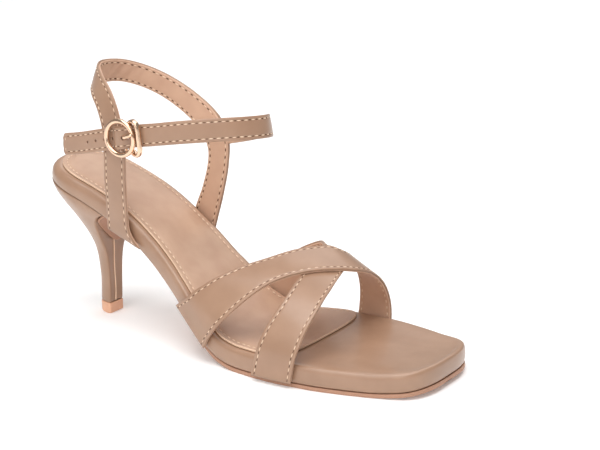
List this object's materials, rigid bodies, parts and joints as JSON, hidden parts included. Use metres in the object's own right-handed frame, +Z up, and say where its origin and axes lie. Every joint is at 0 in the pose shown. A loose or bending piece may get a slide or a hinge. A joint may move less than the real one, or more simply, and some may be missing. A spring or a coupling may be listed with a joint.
{
  "type": "strappy heeled sandal",
  "caption": "Right-foot strappy sandal with covered heel, crossed toe straps and a buckled ankle strap.",
  "frame": {"origin": "on the floor, under the middle of the shoe's bounding box", "axes": "+X from heel to toe, +Y towards the inner side of this right shoe, +Z up from the floor"},
  "size_m": [0.24, 0.0884, 0.1377],
  "materials": {
    "strap_taupe": "smooth semi-gloss",
    "board_cover": "smooth semi-gloss",
    "heel_cover": "smooth semi-gloss",
    "sock_peach": "satin",
    "outsole_tan": "matt",
    "tip_salmon": "satin",
    "rose_gold": "polished rose gold"
  },
  "bodies": {
    "root": {"outsole": "outsole_tan", "midsole": "board_cover", "sock_lining": "sock_peach", "heel": "heel_cover", "heel_tip": "tip_salmon", "vamp_straps": "strap_taupe", "ankle_straps": "strap_taupe", "buckle_frame": "rose_gold", "buckle_prong": "rose_gold"}
  },
  "joints": []
}
